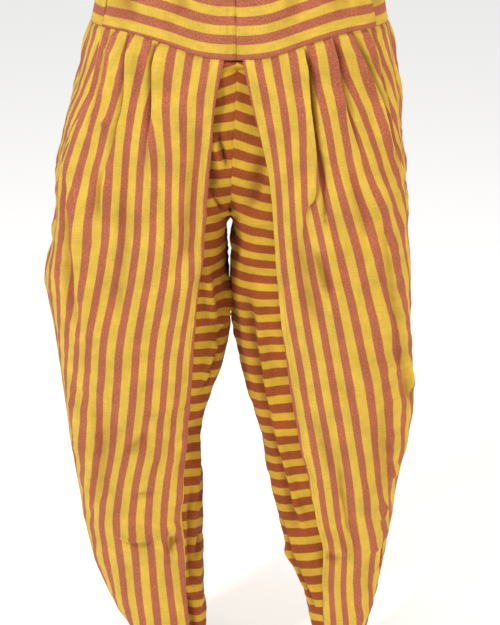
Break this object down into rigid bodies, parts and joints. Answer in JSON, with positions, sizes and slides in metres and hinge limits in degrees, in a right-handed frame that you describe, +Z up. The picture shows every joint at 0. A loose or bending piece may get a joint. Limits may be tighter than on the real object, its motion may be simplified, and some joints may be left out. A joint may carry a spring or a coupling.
{
  "type": "pair of tulip pants",
  "caption": "Striped cotton tulip pants as worn: a wide yoke, pleated front petals that overlap horizontally striped under panels, and pleated backs, hollow and open at waist and hems.",
  "frame": {"origin": "centre of the waist opening, level with the top edge of the yoke", "axes": "+Z up towards the wearer's head, -Y the way the wearer faces, +X to the wearer's left"},
  "size_m": [0.4799, 0.244, 0.955],
  "materials": {
    "yoke_cloth": "handloom cotton with horizontal yellow and rust stripes, slubby plain weave, matte",
    "petal_cloth": "handloom cotton with stripes running down the leg, slubby plain weave, matte",
    "under_cloth": "handloom cotton with stripes across the leg, slubby plain weave, matte",
    "back_cloth": "handloom cotton with stripes running down the leg, slubby plain weave, matte"
  },
  "bodies": {
    "root": {"yoke_back": "yoke_cloth", "yoke_front_right": "yoke_cloth", "yoke_front_left": "yoke_cloth", "petal_right": "petal_cloth", "petal_left": "petal_cloth", "inner_right": "under_cloth", "inner_left": "under_cloth", "back_right": "back_cloth", "back_left": "back_cloth"}
  },
  "joints": []
}
